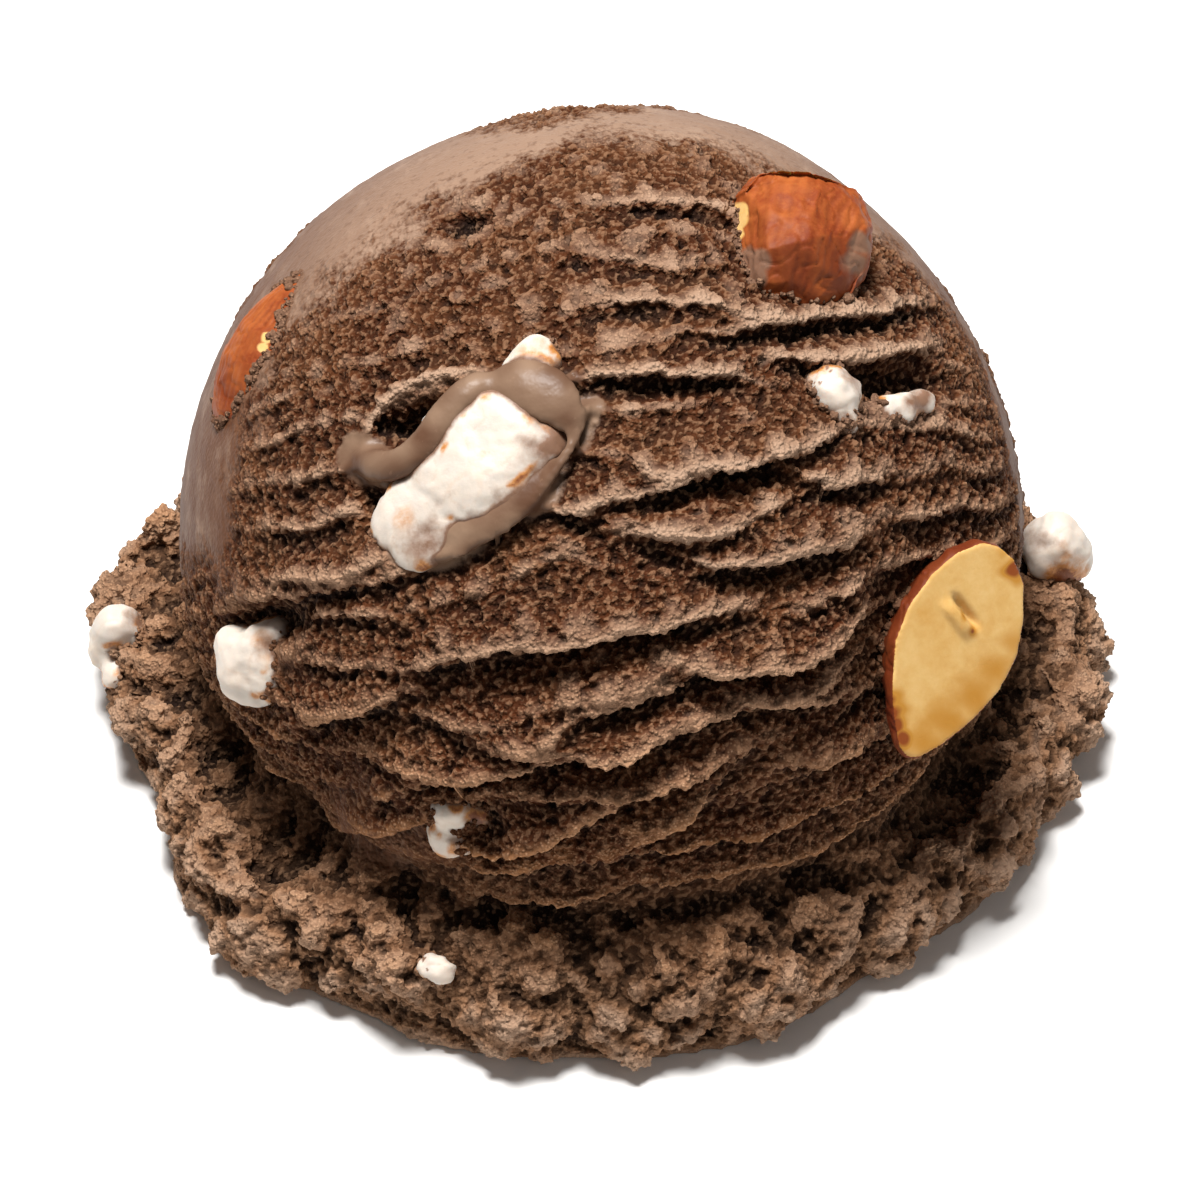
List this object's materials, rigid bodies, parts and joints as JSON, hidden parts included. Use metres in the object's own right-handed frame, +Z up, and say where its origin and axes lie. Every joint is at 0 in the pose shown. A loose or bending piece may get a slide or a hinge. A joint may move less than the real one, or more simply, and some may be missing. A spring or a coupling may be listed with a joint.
{
  "type": "scoop of rocky road ice cream",
  "caption": "Ball of chocolate ice cream with a ragged skirt and a torn, ridged face, set with almonds and toasted marshmallow pieces, standing on its flat underside.",
  "frame": {"origin": "middle of the flat underside, on the surface that the scoop rests on", "axes": "+Z up through the ball's top, -Y towards the torn front face, +X to the right of the front face"},
  "size_m": [0.0895, 0.0871, 0.057],
  "materials": {
    "ice_cream": "matte",
    "almond_skin": "satin",
    "almond_kernel": "satin",
    "marshmallow": "matte"
  },
  "bodies": {
    "root": {"ice_cream": "ice_cream", "almond_top_right": "almond_skin", "almond_left": "almond_skin", "almond_back": "almond_skin", "almond_half": "almond_kernel", "marshmallow_centre": "marshmallow", "marshmallow_upper": "marshmallow", "marshmallow_right_a": "marshmallow", "marshmallow_right_b": "marshmallow", "marshmallow_lower_left": "marshmallow", "marshmallow_low": "marshmallow", "marshmallow_left_edge": "marshmallow", "marshmallow_right_edge": "marshmallow", "marshmallow_bottom": "marshmallow", "marshmallow_back_a": "marshmallow", "marshmallow_back_b": "marshmallow"}
  },
  "joints": []
}
